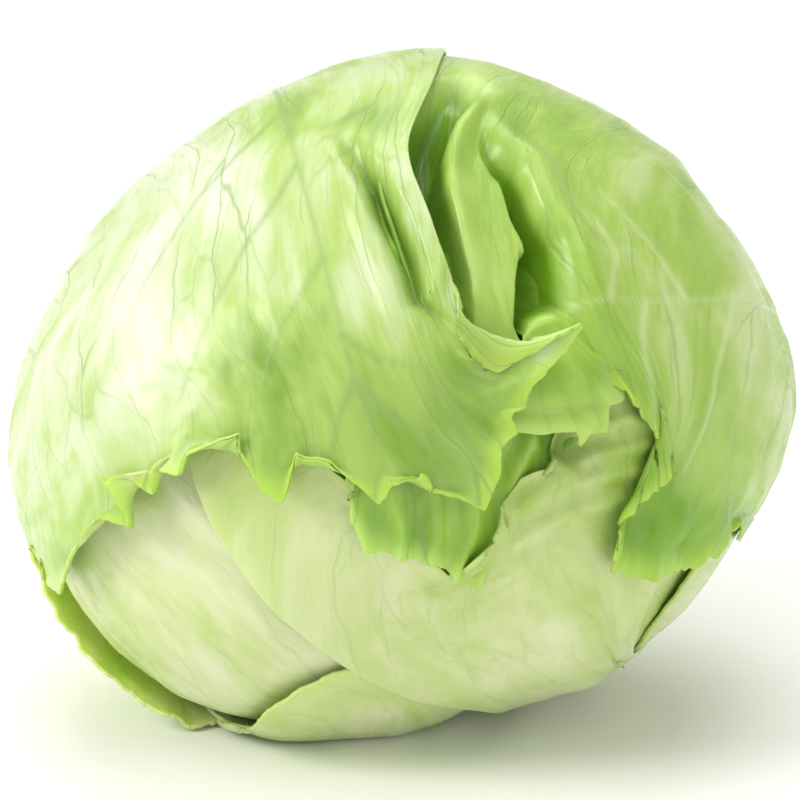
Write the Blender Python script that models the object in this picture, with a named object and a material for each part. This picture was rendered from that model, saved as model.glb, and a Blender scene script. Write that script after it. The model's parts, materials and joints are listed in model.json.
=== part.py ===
"""A head of crisphead lettuce, lying on its side with the crown to the front and the cut stem at the back.

Every leaf is a thin shell on one ball-shaped head, and leaves overlap by lying at different depths in it.
A place on the head is a pair of angles in degrees, (right, up), read off a flat map whose middle is the crown
and whose rim, 180 degrees out, is the stem. Leaves run in from the rim: each is a row of ribs, and each rib
lists the places that it passes from the stem to the leaf's margin.
"""

import math

import bmesh
import bpy
import numpy as np
from mathutils import Matrix, Vector

# The head, in metres. The girth is its outline as seen from the crown: the radius at each angle round it.
GIRTH = [
    (0, 0.0900), (22, 0.0865), (45, 0.0835), (70, 0.0815), (90, 0.0800), (112, 0.0775),
    (135, 0.0775), (158, 0.0820), (180, 0.0885), (202, 0.0910), (225, 0.0905), (248, 0.0850),
    (270, 0.0765), (292, 0.0770), (315, 0.0820), (338, 0.0850),
]
MEAN_GIRTH = sum(radius for _, radius in GIRTH) / len(GIRTH)
FRONT_DEPTH = 0.0760
BACK_DEPTH = 0.0740

# How the head lies: the crown is tipped up from level, and its own weight presses the underside flat.
CROWN_TILT = math.radians(20)
REST_HEIGHT = 0.0722
REST_BLEND = 0.0010
CENTRE = (-0.0005, -0.0012)

# Leaves, in metres: how thick one is, and how much deeper the next one lies.
LEAF_THICKNESS = 0.0011
LEAF_PITCH = 0.0022

# The cut stem is a cone that points at the middle of the head, and leaves start just clear of its side.
STEM_HALF_ANGLE = 10.5
STEM_CLEARANCE = 0.45
STEM_PROUD = 0.0045
STEM_EDGE_ROUNDING = 0.0012
LEAF_START = 180 - STEM_HALF_ANGLE - STEM_CLEARANCE

# How far out from the crown a rib passes the back and the side of the head, and how much of its sideways
# sweep from its base to its shoulder it has made at the back. A short leaf's ribs have made a little more.
BACK_OUT = 136
SIDE_OUT = 103
BACK_SWEEP = 0.65
EDGE_SWEEP = 0.7

# The heart starts this many layers down, and the stem stops just short of it.
HEART_LAYER = 8.4
HEART_CLEARANCE = 0.0006
HEART_SUBDIVISIONS = 4
STEM_SEGMENTS = 36

# The uneven girth fades out towards the crown and the stem, from this sine of the angle between.
GIRTH_FADE = 0.7

# Hollows in the head: (points along the middle, depth in metres, width in degrees).
HOLLOWS = [
    ([(20, 44), (24, 26), (28, 10)], 0.0085, 11.0),
    ([(0, 62), (4, 34), (9, 14)], 0.0030, 8.0),
]


def polar(out, around):
    """A place on the flat map, from how far out it is from the crown and its angle round the head."""
    return (out * math.cos(math.radians(around)), out * math.sin(math.radians(around)))


def rib(base, shoulder, *front):
    """One rib: it leaves the stem at angle base, comes round the side at shoulder, then passes front."""
    back = (1 - BACK_SWEEP) * base + BACK_SWEEP * shoulder
    return [polar(LEAF_START, base), polar(BACK_OUT, back), polar(SIDE_OUT, shoulder), *front]


def edge_rib(base, side, end):
    """A rib of a leaf that stops near the side of the head, at a place given as (out, around)."""
    middle = 0.5 * base + 0.5 * side
    out, around = end
    start = polar(LEAF_START, base)
    halfway = 0.5 * (LEAF_START + out)
    return [
        start,
        polar(0.5 * (LEAF_START + halfway), middle),
        polar(halfway, (1 - EDGE_SWEEP) * base + EDGE_SWEEP * side),
        polar(0.5 * (halfway + out), 0.5 * (side + around)),
        polar(out, around),
    ]


# Each leaf: its ribs in order round the head, and the layer it lies at (0 is outermost), rib by rib, at its
# base and at its margin. It keeps its base's layer up to "dips", a share of its length, and then goes over to
# the other.
LEAVES = {
    "cap_leaf": {
        "ribs": [
            rib(62, 69, (7, 60), (8, 22), (26, 10)),
            rib(78, 84, (-6, 62), (-2, 20), (16, -12)),
            rib(96, 101, (-22, 58), (-12, 18), (4, -14)),
            rib(116, 119, (-40, 48), (-26, 18), (-12, -12)),
            rib(136, 138, (-56, 32), (-42, 10), (-26, -8)),
            rib(154, 158, (-70, 14), (-58, -4), (-44, -14)),
            rib(168, 182, (-84, -8), (-74, -22), (-62, -34)),
            rib(180, 200, (-92, -26), (-86, -32), (-80, -36)),
        ],
        "base": [0, 0, 0, 0, 0, 0, 0, 0],
        "margin": [0, 0, 0, 0, 0, 0, 0, 0],
        "dips": 0.5,
        "slot": "wrapper_leaf",
    },
    "right_leaf": {
        "ribs": [
            rib(58, 64, (12, 58), (10, 32), (15, 5)),
            rib(48, 54, (26, 52), (24, 28), (26, 9)),
            rib(36, 42, (42, 42), (34, 18), (38, 1)),
            rib(22, 26, (60, 28), (46, 4), (40, -18)),
            rib(6, 9, (72, 12), (60, -8), (50, -31)),
            rib(-10, -7, (80, -4), (72, -16), (64, -27)),
            rib(-26, -20, (86, -16), (80, -24), (74, -31)),
        ],
        "base": [1.0, 0.8, 0.3, 0, 0, 0, 0],
        "margin": [1.0, 1.0, 0.6, 0.2, 0, 0, 0],
        "dips": 0.5,
        "slot": "wrapper_leaf",
    },
    "outer_left_leaf": {
        "ribs": [
            edge_rib(168, 182, (96, 190)),
            edge_rib(182, 196, (91, 202)),
            edge_rib(198, 208, (89, 212)),
            edge_rib(214, 219, (90, 222)),
            edge_rib(228, 230, (90, 233)),
            edge_rib(238, 240, (95, 243)),
        ],
        "base": [1.0, 1.0, 0.8, 0.1, 0, 0],
        "margin": [1.0, 0.9, 0.1, -0.2, 0, 0],
        "dips": 0.6,
        "slot": "wrapper_leaf",
    },
    "underside_leaf": {
        "ribs": [
            edge_rib(248, 246, (88, 246)),
            edge_rib(257, 254, (70, 251)),
            edge_rib(268, 265, (60, 261)),
            edge_rib(279, 278, (56, 272)),
            edge_rib(287, 286, (62, 281)),
            edge_rib(296, 294, (78, 291)),
        ],
        "base": [0, 0, 0, 0, 1.5, 2.2],
        "margin": [0.5, 1.0, 1.8, 2.2, 2.4, 2.4],
        "dips": 0.66,
        "slot": "pale_leaf",
    },
    "front_leaf": {
        "ribs": [
            rib(286, 291, (2, -66), (-24, -28), (-33, -6)),
            rib(293, 296, (12, -60), (-8, -32), (-14, -8)),
            rib(301, 301, (24, -56), (9, -40), (7, -31)),
            rib(308, 306, (34, -52), (22, -30), (18, -19)),
            rib(316, 311, (42, -50), (32, -24), (29, -7)),
            rib(324, 316, (50, -50), (40, -26), (43, -9)),
        ],
        "base": [0.3, 0.5, 0.6, 0.6, 0.6, 0.6],
        "margin": [2.2, 2.2, 2.2, 2.6, 3.0, 3.0],
        "dips": 0.5,
        "slot": "pale_leaf",
    },
    "lower_left_leaf": {
        "ribs": [
            rib(226, 234, (-52, -80), (-53, -74), (-53, -66)),
            rib(240, 247, (-36, -78), (-45, -62), (-54, -50)),
            rib(254, 259, (-18, -70), (-34, -46), (-57, -34)),
            rib(268, 270, (-2, -62), (-24, -34), (-54, -16)),
            rib(282, 281, (12, -56), (-12, -26), (-40, -2)),
        ],
        "base": [1.2, 1.6, 3.4, 3.6, 3.6],
        "margin": [1.2, 1.8, 2.6, 3.4, 3.6],
        "dips": 0.5,
        "slot": "pale_leaf",
    },
    "lower_right_leaf": {
        "ribs": [
            rib(304, 303, (44, -62), (36, -42), (32, -26)),
            rib(316, 315, (56, -52), (46, -36), (42, -20)),
            rib(328, 327, (68, -42), (58, -28), (54, -12)),
            rib(340, 339, (80, -28), (72, -18), (64, -6)),
        ],
        "base": [4, 4, 4, 4],
        "margin": [4, 4, 4, 4],
        "dips": 0.5,
        "slot": "pale_leaf",
    },
    "right_outer_leaf": {
        "ribs": [
            edge_rib(322, 318, (84, 313)),
            edge_rib(332, 328, (72, 322)),
            edge_rib(342, 340, (70, 333)),
            edge_rib(354, 352, (74, 345)),
        ],
        "base": [2.0, 1.5, 1.2, 1.2],
        "margin": [2.2, 1.6, 1.3, 1.3],
        "dips": 0.5,
        "slot": "pale_leaf",
    },
    "crown_green_leaf": {
        "ribs": [
            rib(82, 80, (6, 58), (16, 18), (26, -12)),
            rib(98, 96, (-10, 56), (4, 14), (16, -22)),
            rib(114, 112, (-26, 50), (-8, 10), (7, -29)),
            rib(130, 128, (-42, 40), (-20, 6), (-4, -25)),
            rib(146, 144, (-56, 26), (-30, 2), (-10, -14)),
        ],
        "base": [4.8, 4.0, 2.0, 1.2, 1.2],
        "margin": [4.8, 4.4, 1.6, 1.1, 1.1],
        "dips": 0.5,
        "slot": "green_leaf",
    },
    "crown_tip_leaf": {
        "ribs": [
            rib(66, 64, (14, 54), (14, 26), (15, -4)),
            rib(54, 52, (26, 46), (22, 22), (22, -6)),
            rib(42, 40, (38, 36), (30, 20), (28, -6)),
            rib(30, 28, (48, 26), (40, 14), (34, -3)),
        ],
        "base": [2.2, 2.2, 2.2, 2.2],
        "margin": [1.8, 2.0, 2.0, 2.0],
        "dips": 0.5,
        "slot": "green_leaf",
    },
    "heart_leaf_upper": {
        "ribs": [
            rib(10, 6, (76, 6), (52, 0), (34, -8)),
            rib(40, 36, (58, 38), (36, 24), (18, 6)),
            rib(72, 70, (24, 64), (12, 34), (4, 8)),
            rib(104, 104, (-20, 64), (-14, 34), (-8, 6)),
            rib(136, 138, (-56, 42), (-38, 24), (-22, 2)),
            rib(168, 174, (-80, 6), (-56, 0), (-38, -8)),
        ],
        "base": [6, 6, 6, 6, 6, 6],
        "margin": [6, 6, 6, 6, 6, 6],
        "dips": 0.5,
        "slot": "heart_leaf",
    },
    "heart_leaf_lower": {
        "ribs": [
            rib(178, 172, (-78, 12), (-54, 12), (-30, 16)),
            rib(208, 206, (-70, -30), (-44, -18), (-18, 0)),
            rib(242, 244, (-30, -60), (-20, -30), (-4, -4)),
            rib(276, 276, (6, -66), (4, -32), (8, -6)),
            rib(310, 308, (46, -50), (32, -26), (22, -2)),
            rib(344, 346, (72, -14), (50, -8), (32, 10)),
        ],
        "base": [7.1, 7.1, 7.1, 7.1, 7.1, 7.1],
        "margin": [7.1, 7.1, 7.1, 7.1, 7.1, 7.1],
        "dips": 0.5,
        "slot": "heart_leaf",
    },
}

# Each finish: its colour and its roughness.
FINISHES = {
    "wrapper_leaf": ((0.46, 0.60, 0.20), 0.40),
    "pale_leaf": ((0.70, 0.78, 0.44), 0.40),
    "green_leaf": ((0.27, 0.45, 0.05), 0.40),
    "heart_leaf": ((0.68, 0.74, 0.34), 0.45),
    "cut_stem": ((0.69, 0.58, 0.35), 0.60),
}

# A leaf's faces: how wide a column of them is, and how many rows there are from the stem to the margin.
COLUMN_DEGREES = 8.5
ROWS = 14


def smooth(knots, values, at):
    """A smooth curve through values at knots, read at each of at, with its neighbouring points' slopes."""
    knots = np.asarray(knots, float)
    values = np.asarray(values, float)
    steps = np.diff(knots)[:, None]
    slopes = np.diff(values, axis=0) / steps
    tangents = np.vstack([slopes[:1], 0.5 * (slopes[1:] + slopes[:-1]), slopes[-1:]])
    span = np.clip(np.searchsorted(knots, at, side="right") - 1, 0, len(knots) - 2)
    share = ((at - knots[span]) / steps[span, 0])[:, None]
    square, cube = share**2, share**3
    return (
        values[span] * (2 * cube - 3 * square + 1)
        + values[span + 1] * (3 * square - 2 * cube)
        + tangents[span] * steps[span] * (cube - 2 * square + share)
        + tangents[span + 1] * steps[span] * (cube - square)
    )


def smooth_step(x):
    x = np.clip(x, 0, 1)
    return x * x * (3 - 2 * x)


def girth_at(around):
    """The head's radius at angles round it, in degrees. The list repeats each way, so it closes smoothly."""
    turns = [(angle + turn, radius) for turn in (-360, 0, 360) for angle, radius in GIRTH]
    knots = [angle for angle, _ in turns]
    radii = [[radius] for _, radius in turns]
    return smooth(knots, radii, np.mod(around, 360))[:, 0]


def distance_to_line(places, line):
    """How far each place is from a line through points, in degrees on the flat map."""
    nearest = np.full(len(places), np.inf)
    for start, end in zip(line[:-1], line[1:]):
        start, along = np.array(start, float), np.subtract(end, start)
        share = np.clip(((places - start) @ along) / (along @ along), 0, 1)
        nearest = np.minimum(nearest, np.linalg.norm(places - start - share[:, None] * along, axis=1))
    return nearest


def on_head(places, depth):
    """Points in the crown frame (right, up, out of the crown) at places, depth metres under the surface."""
    out = np.radians(np.linalg.norm(places, axis=1))
    around = np.arctan2(places[:, 1], places[:, 0])
    girth = MEAN_GIRTH + (girth_at(np.degrees(around)) - MEAN_GIRTH) * smooth_step(np.sin(out) / GIRTH_FADE)
    length = np.where(out < math.pi / 2, FRONT_DEPTH, BACK_DEPTH)
    surface = np.stack(
        [girth * np.sin(out) * np.cos(around), girth * np.sin(out) * np.sin(around), length * np.cos(out)],
        axis=1,
    )
    radius = np.linalg.norm(surface, axis=1)
    direction = surface / radius[:, None]
    for line, deep, width in HOLLOWS:
        radius = radius - deep * np.exp(-((distance_to_line(places, line) / width) ** 2))
    down = np.array([0, -math.cos(CROWN_TILT), -math.sin(CROWN_TILT)])
    facing_down = np.maximum(direction @ down, 1e-3)
    table = REST_HEIGHT / facing_down
    closeness = np.clip(0.5 + 0.5 * (table - radius) / REST_BLEND, 0, 1)
    radius = table + (radius - table) * closeness - REST_BLEND * closeness * (1 - closeness)
    return direction * (radius - depth)[:, None]


def leaf_places(ribs, across, along):
    """Places on a leaf: across is 0 to 1 from first rib to last, along is 0 at the stem, 1 at the margin."""
    rib_knots = np.linspace(0, 1, len(ribs))
    rows = [smooth(rib_knots, [r[k] for r in ribs], across) for k in range(len(ribs[0]))]
    row_knots = np.linspace(0, 1, len(rows))
    return np.array([smooth(row_knots, [row[i] for row in rows], [along[i]])[0] for i in range(len(along))])


def leaf_mesh(name, leaf):
    """The leaf's outer face: a grid whose columns run from the stem to the margin, laid on the head."""
    ribs = leaf["ribs"]
    widest = max(np.linalg.norm(np.subtract(ribs[0][k], ribs[-1][k])) for k in range(2, len(ribs[0])))
    columns = max(6, round(widest / COLUMN_DEGREES))
    bm = bmesh.new()
    bmesh.ops.create_grid(bm, x_segments=columns, y_segments=ROWS, size=1)
    across = np.array([0.5 + 0.5 * vertex.co.x for vertex in bm.verts])
    along = np.array([0.5 + 0.5 * vertex.co.y for vertex in bm.verts])
    rib_knots = np.linspace(0, 1, len(ribs))
    base = np.interp(across, rib_knots, leaf["base"])
    margin = np.interp(across, rib_knots, leaf["margin"])
    layer = base + (margin - base) * smooth_step((along - leaf["dips"]) / (1 - leaf["dips"]))
    places = leaf_places(ribs, across, along)
    for vertex, point in zip(bm.verts, on_head(places, layer * LEAF_PITCH)):
        vertex.co = point
    bm.normal_update()
    if sum(face.normal.dot(face.calc_center_median()) for face in bm.faces) < 0:
        bmesh.ops.reverse_faces(bm, faces=bm.faces)
    mesh = bpy.data.meshes.new(name)
    bm.to_mesh(mesh)
    bm.free()
    return mesh


def heart_mesh():
    """The tightly folded inner leaves, as one closed mass under the last separate leaf."""
    bm = bmesh.new()
    bmesh.ops.create_icosphere(bm, subdivisions=HEART_SUBDIVISIONS, radius=1)
    unit = np.array([vertex.co for vertex in bm.verts])
    out = np.degrees(np.arccos(np.clip(unit[:, 2], -1, 1)))
    around = np.arctan2(unit[:, 1], unit[:, 0])
    places = np.stack([out * np.cos(around), out * np.sin(around)], axis=1)
    for vertex, point in zip(bm.verts, on_head(places, HEART_LAYER * LEAF_PITCH)):
        vertex.co = point
    mesh = bpy.data.meshes.new("heart")
    bm.to_mesh(mesh)
    bm.free()
    return mesh


def stem_mesh():
    """The cut stem: a short cone from just outside the leaves in to the heart, its cut face square to it."""
    heart_back = BACK_DEPTH - HEART_LAYER * LEAF_PITCH
    inner = heart_back + HEART_CLEARANCE
    outer = BACK_DEPTH + STEM_PROUD
    spread = math.tan(math.radians(STEM_HALF_ANGLE))
    bm = bmesh.new()
    bmesh.ops.create_cone(
        bm, cap_ends=True, segments=STEM_SEGMENTS, radius1=outer * spread, radius2=inner * spread,
        depth=outer - inner,
    )
    bmesh.ops.translate(bm, vec=(0, 0, -0.5 * (outer + inner)), verts=bm.verts)
    rim = [e for e in bm.edges if all(v.co.z < -outer + 1e-6 for v in e.verts)]
    bmesh.ops.bevel(
        bm, geom=rim, offset=STEM_EDGE_ROUNDING, segments=2, profile=0.5, affect="EDGES", material=-1
    )
    mesh = bpy.data.meshes.new("stem")
    bm.to_mesh(mesh)
    bm.free()
    return mesh


def finish(slot):
    colour, roughness = FINISHES[slot]
    material = bpy.data.materials.get(slot) or bpy.data.materials.new(slot)
    material.use_nodes = True
    shader = material.node_tree.nodes["Principled BSDF"]
    shader.inputs["Base Color"].default_value = (*colour, 1)
    shader.inputs["Roughness"].default_value = roughness
    shader.inputs["Metallic"].default_value = 0
    return material


def add_piece(name, mesh, slot, head):
    mesh.materials.append(finish(slot))
    mesh.shade_smooth()
    piece = bpy.data.objects.new(name, mesh)
    bpy.context.scene.collection.objects.link(piece)
    piece.parent = head
    return piece


def add_leaf(name, leaf, head):
    piece = add_piece(name, leaf_mesh(name, leaf), leaf["slot"], head)
    wall = piece.modifiers.new("thickness", "SOLIDIFY")
    wall.thickness = LEAF_THICKNESS
    wall.offset = -1
    return piece


def lay_down(head):
    """Turns the crown frame so that the crown faces the front, tipped up, and sets the head on the ground."""
    right = Vector((1, 0, 0))
    up = Vector((0, math.sin(CROWN_TILT), math.cos(CROWN_TILT)))
    crown = Vector((0, -math.cos(CROWN_TILT), math.sin(CROWN_TILT)))
    turn = Matrix((right, up, crown)).transposed()
    head.matrix_world = Matrix.Translation((*CENTRE, REST_HEIGHT)) @ turn.to_4x4()


def main():
    for old in list(bpy.data.objects):
        bpy.data.objects.remove(old)
    head = bpy.data.objects.new("head", None)
    bpy.context.scene.collection.objects.link(head)
    lay_down(head)
    for name, leaf in LEAVES.items():
        add_leaf(name, leaf, head)
    add_piece("heart", heart_mesh(), "heart_leaf", head)
    add_piece("stem", stem_mesh(), "cut_stem", head)


main()
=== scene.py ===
"""A head of crisphead lettuce lying on its side: crown to the front, cut stem at the back."""

import json
import math

import bmesh
import bpy
import numpy as np
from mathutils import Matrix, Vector, noise


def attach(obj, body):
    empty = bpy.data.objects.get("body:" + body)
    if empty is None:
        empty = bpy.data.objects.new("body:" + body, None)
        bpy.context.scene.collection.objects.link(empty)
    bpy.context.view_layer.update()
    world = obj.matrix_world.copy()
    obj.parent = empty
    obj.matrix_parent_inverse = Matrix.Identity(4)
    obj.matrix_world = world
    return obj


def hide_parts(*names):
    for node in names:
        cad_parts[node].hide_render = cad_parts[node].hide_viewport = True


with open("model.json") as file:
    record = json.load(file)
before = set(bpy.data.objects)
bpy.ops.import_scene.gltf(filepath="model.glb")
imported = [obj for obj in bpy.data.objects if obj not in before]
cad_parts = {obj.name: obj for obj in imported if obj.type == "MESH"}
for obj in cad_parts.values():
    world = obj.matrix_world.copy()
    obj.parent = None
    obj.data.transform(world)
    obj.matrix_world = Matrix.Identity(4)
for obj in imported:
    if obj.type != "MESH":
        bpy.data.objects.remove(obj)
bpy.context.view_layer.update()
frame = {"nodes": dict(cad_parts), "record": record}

# ----------------------------------------------------------------------------------------------------------
# Camera: it looks straight at the crown through a long lens. The head lies on its side with its crown
# tipped up 20 degrees, and its middle stands over the face that it rests on.
# ----------------------------------------------------------------------------------------------------------

CROWN_TILT = math.radians(20)
REST = Vector(next(m["pos_m"] for m in frame["record"]["mounts"] if m["name"] == "rest_face"))
REST_HEIGHT = 0.0722
CENTRE = REST + Vector((0, 0, REST_HEIGHT))
RIGHT = Vector((1, 0, 0))
UP = Vector((0, math.sin(CROWN_TILT), math.cos(CROWN_TILT)))
CROWN = Vector((0, -math.cos(CROWN_TILT), math.sin(CROWN_TILT)))

CAMERA_DISTANCE = 2.5
FRAME_WIDTH = 0.1835  # what the picture takes in at the head's middle
SENSOR_WIDTH = 36

camera_data = bpy.data.cameras.new("camera")
camera_data.sensor_width = SENSOR_WIDTH
camera_data.lens = SENSOR_WIDTH * CAMERA_DISTANCE / FRAME_WIDTH
camera = bpy.data.objects.new("camera", camera_data)
bpy.context.scene.collection.objects.link(camera)
camera.location = CENTRE + CROWN * CAMERA_DISTANCE
camera.rotation_euler = (-CROWN).to_track_quat("-Z", "Y").to_euler()
bpy.context.scene.camera = camera
bpy.context.scene.view_settings.view_transform = "Standard"

# ----------------------------------------------------------------------------------------------------------
# Studio: a wide floor of matt white paper. One broad soft light hangs at the upper left, a second one
# overhead and a weak fill at the right, and a fourth keeps the paper behind the head white.
# ----------------------------------------------------------------------------------------------------------


def linear(code):
    """A colour written as sRGB hex, in the linear values that a shader takes."""
    parts = [int(code[i:i + 2], 16) / 255 for i in (1, 3, 5)]
    return tuple(c / 12.92 if c <= 0.04045 else ((c + 0.055) / 1.055) ** 2.4 for c in parts) + (1.0,)


def new_material(name):
    """A new material, with its node tree and its shader."""
    material = bpy.data.materials.new(name)
    material.use_nodes = True
    tree = material.node_tree
    return material, tree, tree.nodes["Principled BSDF"]


def add(tree, kind, settings=None, **links):
    """Adds a node with its settings. Each link is named for an input, or numbered as in i0, and holds a plain
    value, another node's output, or a node, which stands for its first output."""
    node = tree.nodes.new(kind)
    for key, value in (settings or {}).items():
        setattr(node, key, value)
    for key, value in links.items():
        socket = node.inputs[int(key[1:]) if key[0] == "i" and key[1:].isdigit() else key.replace("_", " ")]
        if isinstance(value, bpy.types.Node):
            value = value.outputs[0]
        if isinstance(value, bpy.types.NodeSocket):
            tree.links.new(value, socket)
        else:
            socket.default_value = value
    return node


FLOOR_SIZE = 24.0

bm = bmesh.new()
bmesh.ops.create_grid(bm, x_segments=2, y_segments=2, size=FLOOR_SIZE / 2)
floor_mesh = bpy.data.meshes.new("floor")
bm.to_mesh(floor_mesh)
bm.free()
floor = bpy.data.objects.new("floor", floor_mesh)
bpy.context.scene.collection.objects.link(floor)
# Matt white paper: it scatters light evenly, with no highlight.
paper, tree, shader = new_material("white_seamless_paper")
shader.inputs["Base Color"].default_value = linear("#fbfbfa")
shader.inputs["Roughness"].default_value = 0.9
floor_mesh.materials.append(paper)


def soft_light(name, place, size, power, colour="#ffffff", aim=CENTRE):
    """A round soft light of so many metres and watts, turned towards aim."""
    data = bpy.data.lights.new(name, "AREA")
    data.shape = "DISK"
    data.size = size
    data.energy = power
    data.color = linear(colour)[:3]
    lamp = bpy.data.objects.new(name, data)
    bpy.context.scene.collection.objects.link(lamp)
    lamp.location = place
    lamp.rotation_euler = (Vector(aim) - Vector(place)).to_track_quat("-Z", "Y").to_euler()


soft_light("key_light", (-0.98, -0.35, 0.72), 0.60, 8.2, "#fffdf8")
soft_light("top_light", (0.0, -0.25, 1.2), 0.9, 4.5)
soft_light("fill_light", (0.8, -0.9, 0.35), 0.9, 2.7)
soft_light("paper_light", (0.0, 0.9, 1.5), 1.4, 15.0, aim=(0.0, 1.4, 0.0))
world = bpy.data.worlds.new("studio")
world.use_nodes = True
world.node_tree.nodes["Background"].inputs["Color"].default_value = (1, 1, 1, 1)
world.node_tree.nodes["Background"].inputs["Strength"].default_value = 0.48
bpy.context.scene.world = world

# ----------------------------------------------------------------------------------------------------------
# Cap leaf: the big outermost wrapper leaf, one thin waxy sheet that grew from the stem. It comes up round
# the left side of the head, is wrapped tight over it, and ends over the crown in a jagged margin with a
# free flap at its tip. Beside its right edge it is creased into a fold and a valley.
# ----------------------------------------------------------------------------------------------------------

# Every leaf is wrapped on one slightly uneven ball, deeper or shallower. A place on it is a pair of angles
# in degrees, (right, up), on a flat map whose middle is the crown and whose rim, 180 degrees out, is the
# stem. The girth is the head's outline as seen from the crown. Its own weight presses the underside flat.
# In metres:
MM = 0.001
GIRTH = [
    (0, 0.0900), (22, 0.0865), (45, 0.0835), (70, 0.0815), (90, 0.0800), (112, 0.0775),
    (135, 0.0775), (158, 0.0820), (180, 0.0885), (202, 0.0910), (225, 0.0905), (248, 0.0850),
    (270, 0.0765), (292, 0.0770), (315, 0.0820), (338, 0.0850),
]
MEAN_GIRTH = sum(radius for _, radius in GIRTH) / len(GIRTH)
FRONT_DEPTH = 0.0760
BACK_DEPTH = 0.0740
REST_BLEND = 0.0010
LAYER_PITCH = 0.0022
STEM_HALF_ANGLE = 10.5
LEAF_START = 180 - STEM_HALF_ANGLE - 0.45
MM_PER_DEGREE = 1.45


def polar(out, around):
    """The place that is out degrees from the crown, in the direction around."""
    return (out * math.cos(math.radians(around)), out * math.sin(math.radians(around)))


def cubic(start, end, leave, arrive, share):
    """The way from start to end at each share of it, which sets off at slope leave and gets in at arrive."""
    square, cube = share**2, share**3
    return (
        start * (2 * cube - 3 * square + 1) + end * (3 * square - 2 * cube)
        + leave * (cube - 2 * square + share) + arrive * (cube - square)
    )


def smooth(knots, values, at):
    """A smooth curve through values at knots, read at each of at, with neighbouring points' slopes."""
    knots = np.asarray(knots, float)
    values = np.asarray(values, float)
    steps = np.diff(knots)[:, None]
    slopes = np.diff(values, axis=0) / steps
    tangents = np.vstack([slopes[:1], 0.5 * (slopes[1:] + slopes[:-1]), slopes[-1:]])
    span = np.clip(np.searchsorted(knots, at, side="right") - 1, 0, len(knots) - 2)
    step = steps[span]
    share = ((at - knots[span]) / step[:, 0])[:, None]
    return cubic(values[span], values[span + 1], tangents[span] * step, tangents[span + 1] * step, share)


def smooth_step(low, high, x):
    """0 up to low and 1 from high on, with a soft change between them."""
    x = np.clip((np.asarray(x, float) - low) / (high - low), 0, 1)
    return x * x * (3 - 2 * x)


def grain(points, seed=0.0):
    """Smooth noise from -1 to 1 at points whose unit is the size of its lumps."""
    points = np.asarray(points, float)
    if points.shape[1] == 2:
        points = np.column_stack([points, np.full(len(points), 0.5)])
    points = points + seed * np.array([17.3, 9.1, 5.7])
    return np.array([noise.noise(Vector(p)) for p in points])


def girth_at(around):
    """The head's outline radius in a direction round the crown, in metres."""
    turns = [(angle + turn, radius) for turn in (-360, 0, 360) for angle, radius in GIRTH]
    return smooth([a for a, _ in turns], [[r] for _, r in turns], np.mod(around, 360))[:, 0]


def beside(places, line):
    """For each place: how far it is from a line of points, in degrees, positive on the line's left as one
    goes along it, and the share of the line's length passed at the nearest point."""
    line = np.asarray(line, float)
    lengths = np.linalg.norm(np.diff(line, axis=0), axis=1)
    starts = np.concatenate([[0], np.cumsum(lengths)[:-1]])
    nearest = np.full(len(places), np.inf)
    side = np.zeros(len(places))
    share = np.zeros(len(places))
    for start, end, length, passed in zip(line[:-1], line[1:], lengths, starts):
        along = end - start
        t = np.clip(((places - start) @ along) / (length**2), 0, 1)
        apart = places - start - t[:, None] * along
        distance = np.linalg.norm(apart, axis=1)
        closer = distance < nearest
        nearest[closer] = distance[closer]
        side[closer] = np.sign(along[0] * apart[closer, 1] - along[1] * apart[closer, 0])
        share[closer] = (passed + t[closer] * length) / lengths.sum()
    return nearest * side, share


# The right leaf is folded on itself into a deep pleat next to the crown: its right wall drops straight down
# from this fold edge, and the strip on the left of the pleat has a steep side too. Leaves underneath follow
# it.
PLEAT_EDGE = [
    (14, 58), (18, 46), (22, 41), (24, 33), (27, 27), (28, 20), (29, 14), (32, 8), (36, 1), (41, -5),
]
PLEAT_DEPTH = [0, 0, 5, 14, 19, 22, 21, 14, 5, 0]
PLEAT_WIDTH = [1.0, 1.5, 4.0, 4.0, 4.5, 7.5, 10.0, 13.0, 15.0, 13.0]
# Between the cap leaf's right edge and that strip's left side, which is this line, it dips into a narrow gap.
GAP_EDGE = [(20, 63), (14, 59), (9.5, 52), (7.5, 45), (7.5, 38), (9, 31), (11, 20), (11, 9)]
GAP_DEPTH = [0, 6, 13, 15, 13, 9, 6, 4]


def profile(share, values):
    """Evenly spaced values along a line, read at each share of its length."""
    return np.interp(share, np.linspace(0, 1, len(values)), values)


def shared_folds(places):
    """How far the head's surface is folded in at each place, in metres."""
    side, share = beside(places, PLEAT_EDGE)
    depth = profile(share, PLEAT_DEPTH) * MM
    width = profile(share, PLEAT_WIDTH)
    wall = smooth_step(-0.6, 0.85 * width, -side)
    pleat = depth * wall * (1 - smooth_step(width - 1.2, width + 0.8, -side))
    side, share = beside(places, GAP_EDGE)
    depth = profile(share, GAP_DEPTH) * MM
    gap = depth * smooth_step(-1.2, 1.4, -side) * (1 - smooth_step(5.0, 12.0, -side))
    return np.maximum(pleat, gap)


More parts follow.
